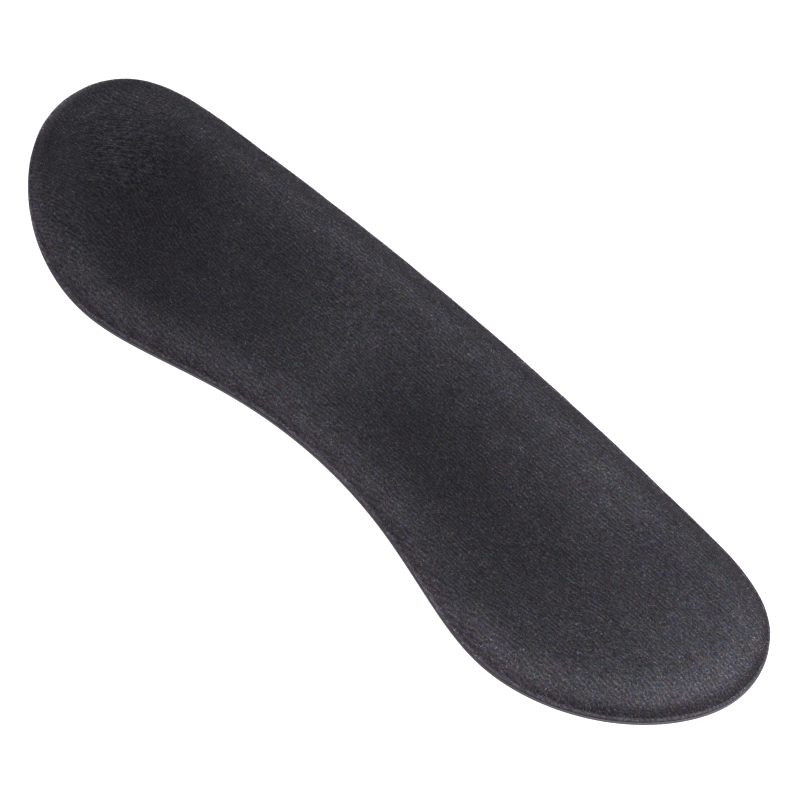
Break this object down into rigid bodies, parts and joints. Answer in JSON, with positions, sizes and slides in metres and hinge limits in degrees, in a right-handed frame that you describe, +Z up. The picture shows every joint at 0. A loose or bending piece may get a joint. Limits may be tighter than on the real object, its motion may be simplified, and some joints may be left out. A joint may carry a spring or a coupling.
{
  "type": "heel grip",
  "caption": "Bean-shaped padded heel grip: a brushed knit face over a low foam dome with a flat adhesive back, stuck inside a shoe's heel to stop it slipping.",
  "frame": {"origin": "on the adhesive underside, under the centre of the bounding box", "axes": "+X along the pad from one lobe to the other, +Y towards the long convex edge, +Z up out of the fabric face"},
  "size_m": [0.1, 0.0281, 0.004],
  "materials": {
    "cover_knit": "brushed black knit with a fine lengthwise rib and a soft nap",
    "foam": "soft matte foam",
    "adhesive_film": "smooth sticky film, slightly glossy"
  },
  "bodies": {
    "root": {"cover": "cover_knit", "foam_core": "foam", "adhesive_backing": "adhesive_film"}
  },
  "joints": []
}
